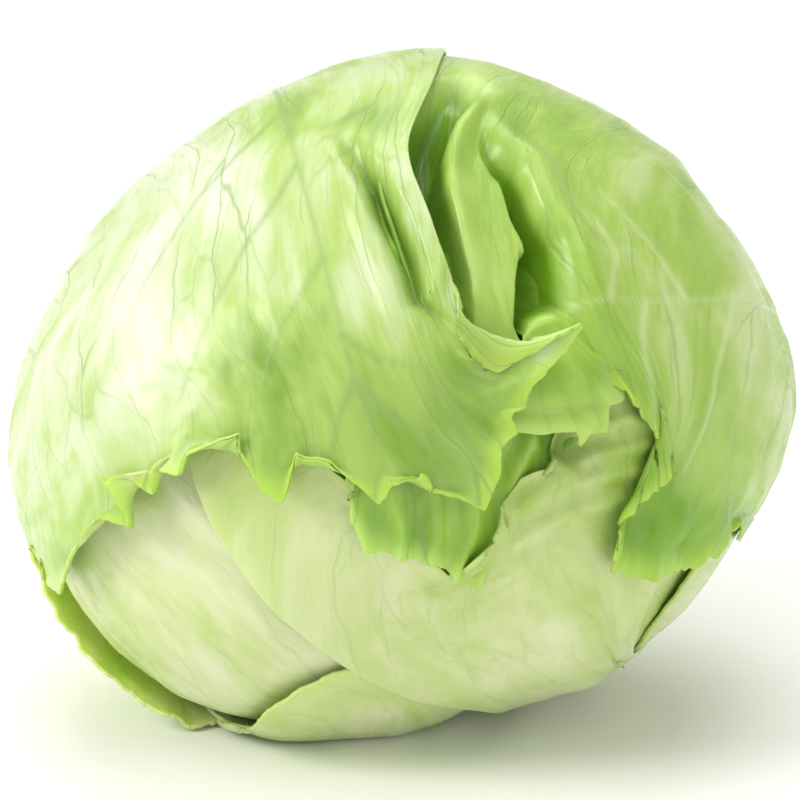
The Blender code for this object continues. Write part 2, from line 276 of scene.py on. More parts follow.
def on_head(places, depth, relief=0.0, folds=None):
    """World points at places, depth metres under the head's surface, after relief metres of bulge outward."""
    out = np.radians(np.linalg.norm(places, axis=1))
    around = np.arctan2(places[:, 1], places[:, 0])
    girth = MEAN_GIRTH + (girth_at(np.degrees(around)) - MEAN_GIRTH) * smooth_step(0, 0.7, np.sin(out))
    length = np.where(out < math.pi / 2, FRONT_DEPTH, BACK_DEPTH)
    surface = np.stack(
        [girth * np.sin(out) * np.cos(around), girth * np.sin(out) * np.sin(around), length * np.cos(out)],
        axis=1,
    )
    radius = np.linalg.norm(surface, axis=1)
    direction = surface / radius[:, None]
    swell = 1.5 * MM * grain(direction * 2.3, 3.0) + 0.7 * MM * grain(direction * 4.6, 8.0)
    radius = radius + swell + relief - (shared_folds(places) if folds is None else folds)
    down = np.array([0, -math.cos(CROWN_TILT), -math.sin(CROWN_TILT)])
    table = REST_HEIGHT / np.maximum(direction @ down, 1e-3)
    closeness = np.clip(0.5 + 0.5 * (table - radius) / REST_BLEND, 0, 1)
    radius = table + (radius - table) * closeness - REST_BLEND * closeness * (1 - closeness)
    local = direction * (radius - depth)[:, None]
    turn = np.array([RIGHT, UP, CROWN])
    return local @ turn + np.array(CENTRE)


# Each leaf is one sheet that leaves the stem, comes round the side of the head and ends in a toothed,
# ruffled margin. Its ribs are listed in order round the head, each as the places that it passes on its way
# from the stem, and the margin is a line of its own. The sheet is a grid of faces that is moved into place,
# then given a thickness.
BACK_OUT, FLANK_OUT, SIDE_OUT = 152, 128, 103  # how far out a rib passes the back and the side of the head


def rib(base, shoulder, *front):
    """A rib leaves the stem at angle base, comes round the side at angle shoulder, then passes front."""
    return [
        polar(LEAF_START, base), polar(BACK_OUT, 0.65 * base + 0.35 * shoulder),
        polar(FLANK_OUT, 0.25 * base + 0.75 * shoulder), polar(SIDE_OUT, shoulder), *front,
    ]


def along_margin(margin, ends, share):
    """Points on the margin at each share of the leaf's width. Rib after rib ends at the margin's points
    numbered in ends."""
    margin = np.asarray(margin, float)
    passed = np.concatenate([[0], np.cumsum(np.linalg.norm(np.diff(margin, axis=0), axis=1))])
    at = np.interp(share, np.linspace(0, 1, len(ends)), passed[list(ends)])
    return np.column_stack([np.interp(at, passed, margin[:, k]) for k in (0, 1)])


def spread(places, spots):
    """The sum of soft round spots, each given as (right, up, reach, height), at places."""
    total = np.zeros(len(places))
    for right, up, reach, height in spots:
        apart = np.linalg.norm(places - np.array([right, up]), axis=1)
        total += height * np.exp(-((apart / reach) ** 2))
    return total


# A leaf's relief and thickness, in millimetres, and sizes given as (across, along) it.
LEAF_THICKNESS = 0.9
COLLAR = 2.8  # how far its fleshy base swells out beside the stem
COLLAR_TOP = 169  # how far out it swells most
COLLAR_DEGREES = 9
RIDGE_SIZE = (9.0, 42.0)
BLISTER_SIZE = (9.0, 12.0)
PUCKER_SIZE = (3.2, 4.5)
TOOTH_WIDTH = 2.4
NOTCH_WIDTH = 6.0
TOOTHED_STRETCH = 8.7
RUFFLE_STRETCH = 6.5
LIFT_STRETCH = 11.0
MIDRIB_WIDTH = 7.0


def leaf_sheet(
    name, ribs, margin, ends, base, tip, dips=0.5, columns=120, rows=90, crowd=1.0,
    teeth=0.8, ruffle=1.0, ruffle_length=12, lift=0.0, ribbing=0.45, blister=0.35, midrib=0.0,
    own_folds=None, follows=None, bulges=(), tints=(), main_veins=(), calm_ends=0.1, seed=1.0,
):
    """Makes a leaf's mesh object. base and tip are its layers at the stem and at the margin, rib by rib; it
    keeps the first up to dips, a share of its length. crowd above 1 packs the rows towards the margin.
    follows tells how far it goes into the head's folds, which it does fully without it. teeth, ruffle,
    lift, ribbing, blister and midrib are heights in millimetres. The margin is calm at its two ends, over
    calm_ends of the leaf's width. bulges raise the leaf, and tints make it greener, in soft round spots."""
    bm = bmesh.new()
    bmesh.ops.create_grid(bm, x_segments=columns, y_segments=rows, size=1)
    spot = np.array([vertex.co[:2] for vertex in bm.verts]) * 0.5 + 0.5
    across, along = spot[:, 0], 1 - (1 - spot[:, 1]) ** crowd

    ribs = np.array(ribs, float)
    count = len(ribs)
    rib_knots = np.linspace(0, 1, count)
    ribs = np.concatenate([ribs, along_margin(margin, ends, rib_knots)[:, None]], axis=1)
    steps = np.linalg.norm(np.diff(ribs, axis=1), axis=2).mean(axis=0)
    row_knots = np.concatenate([[0], np.cumsum(steps)]) / steps.sum()
    lines = smooth(rib_knots, ribs.reshape(count, -1), across).reshape(len(across), -1, 2)
    span = np.clip(np.searchsorted(row_knots, along, side="right") - 1, 0, len(row_knots) - 2)
    gaps = np.diff(row_knots)
    slopes = np.diff(lines, axis=1) / gaps[None, :, None]
    tangents = np.concatenate([slopes[:, :1], 0.5 * (slopes[:, 1:] + slopes[:, :-1]), slopes[:, -1:]], axis=1)
    pick = np.arange(len(across))
    step = gaps[span][:, None]
    share = (along - row_knots[span])[:, None] / step
    leave, arrive = tangents[pick, span] * step, tangents[pick, span + 1] * step
    places = cubic(lines[pick, span], lines[pick, span + 1], leave, arrive, share)

    length_mm = steps.sum() * MM_PER_DEGREE
    width_mm = np.linalg.norm(np.diff(ribs[:, 4], axis=0), axis=1).sum() * MM_PER_DEGREE
    fan_mm = np.column_stack([(across - 0.5) * width_mm, along * length_mm])
    edge_mm = (1 - along) * length_mm

    # Ribs crowd together in places. There the relief is shallower, and the tissue's pattern keeps its own
    # scale.
    order = np.lexsort((across, np.round(spot[:, 1], 6)))
    grid = places[order].reshape(rows + 1, columns + 1, 2)
    steps_mm = np.linalg.norm(np.diff(grid, axis=1), axis=2) * MM_PER_DEGREE
    steps_mm *= np.sinc(np.minimum(np.linalg.norm(grid[:, 1:], axis=2), 170) / 180)
    run = np.concatenate([np.zeros((rows + 1, 1)), np.cumsum(steps_mm, axis=1)], axis=1)
    run -= run[:, columns // 2][:, None]
    true_mm, room = np.empty(len(across)), np.empty(len(across))
    true_mm[order] = run.ravel()
    column_mm = np.concatenate([steps_mm, steps_mm[:, -1:]], axis=1)
    room[order] = np.clip(column_mm * columns / width_mm, 0.1, 1).ravel()
    leaf_mm = np.column_stack([0.6 * true_mm + 0.4 * fan_mm[:, 0], fan_mm[:, 1]])

    # The margin as it is, with its points and teeth, takes over from the smooth end over the last stretch.
    edge_at = along_margin(margin, ends, across)
    outward = edge_at - np.column_stack(
        [np.interp(across, rib_knots, ribs[:, -2, k]) for k in (0, 1)]
    )
    outward /= np.linalg.norm(outward, axis=1)[:, None] + 1e-9
    level = np.zeros(len(across))
    saw = np.abs(grain(np.column_stack([fan_mm[:, 0] / TOOTH_WIDTH, level]), seed)) * 2 - 0.5
    saw += 0.8 * grain(np.column_stack([fan_mm[:, 0] / NOTCH_WIDTH, level]), seed + 3)
    calm = smooth_step(0, calm_ends, np.minimum(across, 1 - across))
    saw *= calm
    edge_at = edge_at + outward * (saw * teeth / MM_PER_DEGREE)[:, None]
    end_at = smooth(rib_knots, ribs[:, -1], across)
    pull = smooth_step(0, 1, 1 - edge_mm / TOOTHED_STRETCH) ** 1.2
    places = places + pull[:, None] * (edge_at - end_at)

    # Relief: ridges along the ribs, blisters between veins, and a ruffle that grows towards the margin.
    relief = ribbing * room * grain(leaf_mm / RIDGE_SIZE, seed + 1)
    relief += blister * room * grain(leaf_mm / BLISTER_SIZE, seed + 2)
    relief += 0.25 * blister * room * grain(leaf_mm / PUCKER_SIZE, seed + 4)
    wave = grain(np.column_stack([fan_mm[:, 0] / ruffle_length, edge_mm / 30.0]), seed + 5)
    wave += 0.5 * grain(np.column_stack([fan_mm[:, 0] / (0.45 * ruffle_length), edge_mm / 12.0]), seed + 6)
    relief += calm * ruffle * (0.55 + 1.1 * wave) * np.exp(-edge_mm / RUFFLE_STRETCH)
    relief += calm * lift * np.exp(-((edge_mm / LIFT_STRETCH) ** 1.4))
    relief += midrib * np.exp(-((fan_mm[:, 0] / MIDRIB_WIDTH) ** 2)) * (1 - along) ** 1.5 * 1.6
    from_stem = np.maximum(COLLAR_TOP - np.linalg.norm(places, axis=1), 0)
    collar = COLLAR * np.exp(-((from_stem / COLLAR_DEGREES) ** 2))
    creases = own_folds(places) if own_folds else np.zeros(len(places))
    relief = (relief * smooth_step(0.0, 0.06, along) + collar + spread(places, bulges) - creases) * MM

    first, last = np.interp(across, rib_knots, base), np.interp(across, rib_knots, tip)
    layer = first + (last - first) * smooth_step(dips, 1, along)
    folds = shared_folds(places) * (follows(along) if follows else 1)
    for vertex, point in zip(bm.verts, on_head(places, layer * LAYER_PITCH, relief, folds)):
        vertex.co = point
    bm.normal_update()
    away = sum(face.normal.dot(face.calc_center_median() - CENTRE) for face in bm.faces)
    if away < 0:
        bmesh.ops.reverse_faces(bm, faces=bm.faces)
    mesh = bpy.data.meshes.new(name)
    bm.to_mesh(mesh)
    bm.free()

    # What the tissue reads: its own map, the way to the margin, the depth of the folds, which it darkens
    # as painted shade, the main veins and how green it is. A leaf is paler towards the stem, most of all
    # along its midrib, and a main vein tapers towards its end.
    strong = np.zeros(len(places))
    for line in main_veins:
        side, share = beside(places, line)
        strong = np.maximum(strong, (1 - 0.5 * share) * np.exp(-((side / (0.75 - 0.3 * share)) ** 2)))
    paler = 0.22 * (1 - smooth_step(0.05, 0.5, along))
    if midrib:
        paler += 0.35 * np.exp(-((fan_mm[:, 0] / 5.0) ** 2)) * (1 - along) ** 1.2
    mesh.attributes.new("leaf_mm", "FLOAT_VECTOR", "POINT").data.foreach_set(
        "vector", np.column_stack([leaf_mm, level]).astype(np.float32).ravel()
    )
    for label, values in (
        ("edge_mm", edge_mm), ("fold_mm", folds / MM + np.maximum(creases, 0)), ("main_vein", strong),
        ("tint", spread(places, tints) - paler),
    ):
        mesh.attributes.new(label, "FLOAT", "POINT").data.foreach_set("value", values.astype(np.float32))
    mesh.shade_smooth()
    piece = bpy.data.objects.new(name, mesh)
    bpy.context.scene.collection.objects.link(piece)
    wall = piece.modifiers.new("thickness", "SOLIDIFY")
    wall.thickness = LEAF_THICKNESS * MM
    wall.offset = -1
    return piece


def settle(piece, node, material):
    """Gives a finished piece its material, and puts it on the head in its node's place."""
    piece.data.materials.append(material)
    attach(piece, "root")
    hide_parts(node)


def leaf_tissue(name, pale="#dceab2", mid="#a8c95a", deep="#749d28", edge="#b4d650", greenness=0.5,
                margin_green=0.2, streaks=0.5, blotches=0.4, veins=0.5, glow=0.35,
                through=(0.55, 1.0, 0.18), main_vein_colour="#8aa860", seed=0.0):
    """Living leaf: waxy, slightly see-through, with a net of thin veins. Colour runs from the pale ribs and
    base to deep green between the veins, and to yellow green at the thin margin. glow is how much light
    passes into it, and through is how far each colour of that light gets."""
    material, tree, shader = new_material(name)
    place = add(tree, "ShaderNodeAttribute", {"attribute_name": "leaf_mm"}).outputs["Vector"]
    edge_mm, fold_mm, tint, main_vein = (
        add(tree, "ShaderNodeAttribute", {"attribute_name": label}).outputs["Fac"]
        for label in ("edge_mm", "fold_mm", "tint", "main_vein")
    )
    soft = {"interpolation_type": "SMOOTHSTEP"}
    product = {"operation": "MULTIPLY"}
    weighted_sum = {"operation": "MULTIPLY_ADD"}

    # Each pattern's lumps, (across, along) the leaf in mm, then its shift, detail, roughness and
    # distortion. The grain is drawn coarser than real leaf cells, which are too fine to see.
    patterns = {}
    for label, wide, long, shift, detail, rough, twist in (
        ("wobble", 13, 19, 0, 3, 0.5, 0), ("vein_gaps", 24, 40, 12, 1, 0.55, 0),
        ("patches", 22, 34, 0, 3, 0.55, 0.3), ("spots", 12, 17, 4, 3, 0.55, 0),
        ("runs", 8, 40, 9, 3, 0.55, 0.4), ("gloss", 2.4, 14, 2, 3, 0.55, 0),
        ("grain", 1.8, 10, 5, 4, 0.55, 0), ("crinkle", 5.5, 8, 6, 2, 0.55, 0),
    ):
        stretched = add(
            tree, "ShaderNodeMapping", None, Vector=place, Scale=(1 / wide, 1 / long, 1),
            Location=(seed + shift, 0.7 * seed, seed),
        )
        patterns[label] = add(
            tree, "ShaderNodeTexNoise", {"noise_dimensions": "2D"}, Vector=stretched, Scale=1.0,
            Detail=detail, Roughness=rough, Distortion=twist,
        )

    # Two nets of veins, with meshes 15 by 90 mm and 6.5 by 30 mm. The wobble keeps them from running dead
    # straight. In the gaps the fine net is gone and the wide one faint.
    nets = []
    for wide, long, shift, bend in ((15, 90, 3.1, 7.0), (6.5, 30, 7.7, 4.0)):
        bent = add(
            tree, "ShaderNodeVectorMath", weighted_sum, i0=patterns["wobble"].outputs["Color"],
            i1=(bend, bend, 0.0), i2=place,
        )
        stretched = add(
            tree, "ShaderNodeMapping", None, Vector=bent, Scale=(1 / wide, 1 / long, 1),
            Location=(seed + shift, 0.7 * seed, seed),
        )
        nets.append(add(
            tree, "ShaderNodeTexVoronoi", {"voronoi_dimensions": "2D", "feature": "DISTANCE_TO_EDGE"},
            Vector=stretched, Scale=1.0,
        ))
    clear = add(tree, "ShaderNodeMapRange", soft, i0=patterns["vein_gaps"], i1=0.40, i2=0.62)
    strength = add(tree, "ShaderNodeMapRange", soft, i0=clear, i3=0.35)
    vein = add(tree, "ShaderNodeMapRange", soft, i0=nets[0], i1=0.004, i2=0.026, i3=1.0, i4=0.0)
    vein = add(tree, "ShaderNodeMath", product, i0=vein, i1=strength)
    veinlet = add(tree, "ShaderNodeMapRange", soft, i0=nets[1], i1=0.006, i2=0.045, i3=1.0, i4=0.0)
    veinlet = add(tree, "ShaderNodeMath", product, i0=veinlet, i1=clear)

    # How green: from 0, pale, to 1, deep. The depth of the folds adds green as painted shade.
    green = greenness - 0.5 * blotches
    for source, low, high, weight in (
        (patterns["patches"], 0.34, 0.70, blotches), (patterns["spots"], 0.48, 0.72, 0.35 * blotches),
        (patterns["runs"], 0.35, 0.75, -0.3 * streaks), (edge_mm, 36.0, 2.0, margin_green),
        (fold_mm, 1.0, 7.0, 0.5),
    ):
        share = add(tree, "ShaderNodeMapRange", soft, i0=source, i1=low, i2=high)
        green = add(tree, "ShaderNodeMath", weighted_sum, i0=share, i1=weight, i2=green)
    green = add(tree, "ShaderNodeMath", {"operation": "ADD"}, i0=green, i1=tint)
    greens = add(tree, "ShaderNodeValToRGB", None, Fac=green)
    steps = greens.color_ramp.elements
    steps[0].position, steps[0].color = 0.0, linear(pale)
    steps[1].position, steps[1].color = 1.0, linear(deep)
    steps.new(0.5).color = linear(mid)

    # Over that, one after another: the thin margin, the net of veins, the main veins, and painted shade in
    # the folds, a dark green that grows with their depth.
    margin = add(tree, "ShaderNodeMapRange", soft, i0=edge_mm, i1=6.0, i2=0.3, i4=0.8)
    bold = add(tree, "ShaderNodeMath", product, i0=vein, i1=veins)
    fine = add(tree, "ShaderNodeMath", product, i0=veinlet, i1=0.45 * veins)
    net = add(tree, "ShaderNodeMath", {"operation": "MAXIMUM"}, i0=bold, i1=fine)
    main_line = add(tree, "ShaderNodeMath", product, i0=main_vein, i1=0.6)
    painted_fold_shade = add(tree, "ShaderNodeMapRange", soft, i0=fold_mm, i1=5.0, i2=17.0, i4=0.75)
    colour = greens.outputs["Color"]
    for share, tone in (
        (margin, edge), (net, "#7f9f58"), (main_line, main_vein_colour), (painted_fold_shade, "#5d8424"),
    ):
        mixed = add(tree, "ShaderNodeMix", {"data_type": "RGBA"}, i0=share, i6=colour, i7=linear(tone))
        colour = mixed.outputs[2]
    tree.links.new(colour, shader.inputs["Base Color"])

    gloss = add(tree, "ShaderNodeMapRange", soft, i0=patterns["gloss"], i1=0.3, i2=0.7, i3=0.32, i4=0.52)
    tree.links.new(gloss.outputs[0], shader.inputs["Roughness"])
    shader.inputs["IOR"].default_value = 1.42
    shader.inputs["Subsurface Weight"].default_value = glow
    shader.inputs["Subsurface Radius"].default_value = through
    shader.inputs["Subsurface Scale"].default_value = 0.003
    shader.inputs["Coat Weight"].default_value = 0.45
    shader.inputs["Coat Roughness"].default_value = 0.24
    shader.inputs["Coat IOR"].default_value = 1.45

    rise = 0.0
    for source, weight in (
        (patterns["grain"], 0.35), (patterns["crinkle"], 0.8), (vein, -0.22), (veinlet, -0.12),
        (main_vein, 0.5),
    ):
        rise = add(tree, "ShaderNodeMath", weighted_sum, i0=source, i1=weight, i2=rise)
    bump = add(tree, "ShaderNodeBump", None, Height=rise, Strength=0.6, Distance=0.0007)
    tree.links.new(bump.outputs["Normal"], shader.inputs["Normal"])
    return material


# The crease beside the leaf's right edge, with its depth in millimetres and its width in degrees.
CREASE = [(-12, 50), (-10, 44), (-7, 38), (-5, 32), (-1, 23), (1, 15), (5, 12), (9, 8)]
CREASE_DEPTH = [0, 4, 7, 8, 8, 7, 4.5, 1]
CREASE_WIDTH = [3, 5, 6, 6.5, 6, 5.5, 4, 3]


def cap_folds(places):
    """The crease: a soft ridge on one side of its line, and a valley on the other."""
    side, share = beside(places, CREASE)
    depth = profile(share, CREASE_DEPTH)
    width = profile(share, CREASE_WIDTH)
    valley = smooth_step(-1.2, 2.6, side) * (1 - smooth_step(0.35 * width, width, side))
    ridge = 1.4 * np.exp(-(((side + 2.4) / 2.6) ** 2))
    return depth * valley - ridge * (depth > 0.5)


def lies_over(along):
    """The cap leaf bridges the folds of the leaves under it."""
    return 0.0


cap_leaf = leaf_sheet(
    "cap_leaf_sheet",
    [
        rib(74, 82, (7, 66), (1.5, 46), (5.5, 29), (8.5, 18)),
        rib(81, 88, (2, 66), (-3, 45), (1, 24), (9, 4)),
        rib(88, 94, (-2, 66), (-7, 44), (-3, 22), (7, 0)),
        rib(97, 101, (-11, 66), (-15, 42), (-9, 18), (3, -6)),
        rib(107, 110, (-21, 63), (-23, 41), (-19, 17), (-9, -2)),
        rib(117, 120, (-32, 58), (-32, 37), (-28, 15), (-20, -2)),
        rib(128, 130, (-44, 50), (-42, 30), (-38, 11), (-32, -1)),
        rib(140, 143, (-56, 40), (-54, 24), (-50, 7), (-43, -7)),
        rib(154, 160, (-70, 22), (-68, 8), (-64, -8), (-59, -20)),
        rib(172, 184, (-88, -4), (-88, -12), (-87, -20), (-85, -28)),
    ],
    [
        (9, 9), (12, 5), (15, 4), (19, 7), (27, 11), (24, 7), (22, 5), (19, 2), (18, -1), (16, -2), (17, -5),
        (15, -7), (15, -12), (13, -17), (9, -15), (5, -14), (4, -12), (-1, -13), (-3, -16), (-6, -13),
        (-10, -9), (-15, -8), (-16, -11), (-17, -15), (-20, -13), (-23, -8), (-23, -5), (-26, -6), (-31, -8),
        (-32, -11), (-37, -10), (-36, -14), (-40, -12), (-45, -12), (-41, -17), (-40, -19), (-46, -18),
        (-51, -22), (-58, -31), (-63, -36), (-69, -36), (-68, -32), (-76, -30), (-83, -34),
    ],
    ends=[0, 4, 8, 13, 18, 24, 29, 35, 38, 43], base=[0] * 10, tip=[-0.3] * 4 + [-0.2, -0.1] + [0] * 4,
    columns=320, rows=150, crowd=1.35, teeth=0.6, ruffle=1.3, lift=2.0, ribbing=0.5, blister=0.6, midrib=1.6,
    own_folds=cap_folds, follows=lies_over, bulges=[(27, 11, 8, 3.0), (22, 6, 5, 1.2)],
    tints=[(-25, 58, 9, 0.3), (-4, 54, 8, 0.35), (-22, 10, 9, 0.35), (10, -4, 16, 0.25), (-8, -2, 14, 0.2),
           (-60, 20, 26, -0.25), (-34, 14, 9, -0.2), (-40, 44, 20, -0.2), (-10, 66, 14, 0.05),
           (24, 8, 7, -0.3)],
    main_veins=[
        [(-30, 74), (-24, 60), (-19, 44), (-13, 24), (-9, 10), (-7, 3)],
        [(-7, 3), (-3, -1), (2, -5), (5, -7), (9, -8)],
        [(-7, 3), (-4, -3), (-4, -6)],
        [(-7, 3), (-9, -2), (-10, -7)],
        [(-9, 10), (-3, 6), (4, 5), (8, -2)],
        [(-13, 24), (-19, 12), (-21, 2)],
        [(-19, 44), (-28, 28), (-32, 12), (-34, 0)],
        [(-24, 60), (-40, 40), (-48, 20)],
    ],
    seed=1.0,
)
# Waxy wrapper leaf: thick and pale, nearly white at the side, mottled with green towards its margin.
cap_tissue = leaf_tissue("waxy_wrapper_leaf", pale="#e2ecce", mid="#adca68", greenness=0.42, streaks=0.4,
                         blotches=0.3, veins=0.5)
settle(cap_leaf, "cap_leaf", cap_tissue)

# ----------------------------------------------------------------------------------------------------------
# Right leaf: the green wrapper leaf over the right side, one thin sheet from the stem, its left edge under
# the cap leaf. Next to the crown it is folded on itself into a deep pleat, and its lower margin is a loose
# dark green frill.
# ----------------------------------------------------------------------------------------------------------


def right_ridges(places):
    """The leaf bulges on both sides of the pleat, along its fold edge and along the strip's left side."""
    side, share = beside(places, PLEAT_EDGE)
    beyond = profile(share, [0, 1.5, 3, 3.5, 3.5, 3.5, 3, 2.5, 2, 1]) * np.exp(-(((side - 2.6) / 3.2) ** 2))
    side, share = beside(places, GAP_EDGE)
    hood = profile(share, [0.5, 1.5, 2.5, 2.0, 1.2, 0.8, 0.5, 0]) * np.exp(-(((side - 2.0) / 2.2) ** 2))
    return -np.maximum(beyond, hood)


right_leaf = leaf_sheet(
    "right_leaf_sheet",
    [
        rib(86, 90, (1, 66), (-4, 45), (0, 27), (5, 12)),
        rib(70, 76, (11, 66), (9, 46), (11, 28), (13, 13)),
        rib(58, 65, (22, 61), (18, 46), (20, 30), (21, 14)),
        rib(46, 54, (33, 55), (24, 44), (27, 28), (30, 12)),
        rib(38, 46, (42, 50), (34, 40), (33, 24), (37, 6)),
        rib(28, 34, (54, 42), (46, 30), (42, 14), (41, -4)),
        rib(18, 22, (66, 28), (57, 18), (49, 4), (41, -14)),
        rib(6, 9, (76, 14), (68, 5), (59, -7), (52, -19)),
        rib(-8, -7, (86, -6), (80, -12), (74, -18), (68, -22)),
        rib(-22, -18, (92, -24), (90, -26), (88, -28), (87, -29)),
    ],
    [
        (6, 3), (12, 2), (18, 3), (24, 4), (30, 3), (34, 1), (38, -4), (43, -9), (44, -12), (40, -15),
        (37, -19), (35, -24), (36, -29), (42, -31), (52, -31), (59, -29), (63, -25), (66, -23), (69, -26),
        (73, -30), (79, -33), (86, -30),
    ],
    ends=[0, 1, 3, 5, 7, 9, 12, 14, 17, 21], base=[0.8, 0.7, 0.6, 0.4, 0.2, 0, 0, 0, 0, 0],
    tip=[1.2, 1.2, 1.2, 1.0, 0.4, 0.1, 0, 0, 0, 0], columns=320, rows=150, crowd=1.3, teeth=1.3, ruffle=2.6,
    ruffle_length=8, lift=1.6, ribbing=0.4, blister=0.6, midrib=1.6, calm_ends=0.2, own_folds=right_ridges,
    bulges=[(48, -22, 4, 2.6), (41, -21, 4, -2.2), (58, -23, 4, 2.2), (53, -26, 3, -1.6)],
    tints=[(48, -26, 13, 0.4), (40, -20, 7, 0.4), (56, -26, 5, -0.2), (70, 10, 18, -0.15), (28, 54, 16, 0.2),
           (16, 32, 9, 0.2)],
    main_veins=[
        [(90, 20), (76, 19), (62, 19), (49, 17), (40, 16), (33, 16), (28, 15)],
        [(49, 17), (43, 28), (36, 38)],
        [(33, 16), (36, 24), (34, 32)],
        [(40, 16), (37, 6), (39, -4)],
        [(62, 19), (53, 4), (48, -12)],
        [(76, 19), (66, 34), (54, 46)],
    ],
    seed=2.0,
)
# Green wrapper leaf: thinner and greener, so its main veins stand out paler than the tissue between them.
right_tissue = leaf_tissue("green_wrapper_leaf", deep="#7cab24", greenness=0.5, margin_green=0.3, streaks=0.3,
                           blotches=0.3, veins=0.35, main_vein_colour="#d6e6a8", seed=4.0)
settle(right_leaf, "right_leaf", right_tissue)

# ----------------------------------------------------------------------------------------------------------
# Outer left leaf: the lowest wrapper leaf on the left, left open when the head was trimmed. It stands off
# the head as a thin rim, whose inner face the light comes through.
# ----------------------------------------------------------------------------------------------------------


def side_rib(base, side, end):
    """A rib of a leaf that stops near the side of the head, at a place given as (out, around)."""
    out, around = end
    halfway = 0.5 * (LEAF_START + out)
    return [
        polar(LEAF_START, base), polar(0.65 * LEAF_START + 0.35 * halfway, 0.6 * base + 0.4 * side),
        polar(0.3 * LEAF_START + 0.7 * halfway, 0.3 * base + 0.7 * side), polar(halfway, side),
        polar(0.6 * halfway + 0.4 * out, 0.6 * side + 0.4 * around),
        polar(0.2 * halfway + 0.8 * out, 0.2 * side + 0.8 * around),
    ]


outer_left_leaf = leaf_sheet(
    "outer_left_leaf_sheet",
    [
        side_rib(160, 168, (84, 174)), side_rib(178, 190, (86, 197)), side_rib(196, 207, (90, 212)),
        side_rib(214, 219, (90, 222)), side_rib(228, 230, (90, 233)), side_rib(238, 240, (95, 243)),
    ],
    [polar(84, 174), polar(84, 187), polar(86, 197), polar(89, 207), polar(88, 212), polar(90, 217),
     polar(89, 222), polar(91, 228), polar(89, 233), polar(92, 239), polar(96, 243)],
    ends=[0, 2, 4, 6, 8, 10], base=[1.0, 1.0, 0.8, 0.1, 0, 0], tip=[1.0, 1.0, 0.7, 0.5, 0.5, 0.4],
    columns=170, rows=110, crowd=1.3, teeth=1.0, ruffle=1.6, ruffle_length=16, lift=2.2, midrib=1.4,
    bulges=[(-84, -5, 14, -3.4), (-82, -26, 9, -2.5)], seed=3.0,
)
# Outer wrapper leaf: thin enough for light to come through it, so its shaded inner face glows. Its colours
# are also painted paler than the leaf's own, as painted light on that shaded inner face.
outer_tissue = leaf_tissue("outer_wrapper_leaf_painted_light", pale="#e8f0cc", mid="#d6e5a0", deep="#bdd672",
                           edge="#d2e68a", greenness=0.55, streaks=0.3, veins=0.2, glow=0.9,
                           through=(1.2, 1.6, 0.9), seed=9.0)
settle(outer_left_leaf, "outer_left_leaf", outer_tissue)

# ----------------------------------------------------------------------------------------------------------
# Underside leaf: the pale leaf that the head rests on, pressed flat by its weight. It comes from the stem
# under the head and ends at the front in a rounded margin, over the lower left leaf and under the front
# leaf.
# ----------------------------------------------------------------------------------------------------------

underside_leaf = leaf_sheet(
    "underside_leaf_sheet",
    [
        side_rib(230, 232, (91, 239)), side_rib(255, 252, (71, 250)), side_rib(268, 265, (60, 261)),
        side_rib(279, 278, (56, 272)), side_rib(287, 286, (62, 281)), side_rib(296, 294, (78, 291)),
    ],
    [(-45, -79), (-38, -79), (-31, -69), (-26, -61), (-19, -56), (-13, -54), (-8, -54), (0, -56), (7, -63),
     (28, -73)],
    ends=[0, 2, 4, 6, 7, 9], base=[0.9, 0, 0, 0, 1.5, 2.2], tip=[1.2, 1.0, 1.8, 2.2, 2.4, 2.4], dips=0.66,
    columns=170, rows=110, crowd=1.3, teeth=0.4, ruffle=0.5, lift=0.4, ruffle_length=18, ribbing=0.6,
    blister=0.3, midrib=1.0, seed=4.0,
)
# Pale inner leaf: it grew in the dark under the wrapper leaves, so it is cream to yellow green with faint
# veins.
pale_tissue = leaf_tissue("pale_inner_leaf", pale="#e6edc6", mid="#c6d78c", deep="#9fbf4d", edge="#c2d97c",
                          greenness=0.42, margin_green=0.1, streaks=0.5, blotches=0.3, veins=0.14, seed=14.0)
settle(underside_leaf, "underside_leaf", pale_tissue)

# ----------------------------------------------------------------------------------------------------------
# Front leaf: the pale inner leaf across the lower front, wrapped tight round the head from the lower right.
# A deep cleft divides its upper margin, and right of the cleft its thin rim is gathered into ridges that
# run up under the crown leaves.
# ----------------------------------------------------------------------------------------------------------

RIDGE_RISE = 1.5  # millimetres
RIDGE_WIDTH = 1.5  # degrees
RIM_RIDGES = [
    [(12, -30), (16, -24), (20, -18.5), (28, -14), (38, -12), (47, -13)],
    [(18, -18), (24, -14), (32, -9), (42, -7)],
    [(20, -24), (28, -19), (38, -17), (46, -19)],
    [(30, -5), (37, -3), (46, -5)],
]


def rolled_rim(places):
    """Soft ridges where the leaf's thin upper rim is gathered and rolled outward."""
    return -sum(RIDGE_RISE * np.exp(-((beside(places, line)[0] / RIDGE_WIDTH) ** 2)) for line in RIM_RIDGES)


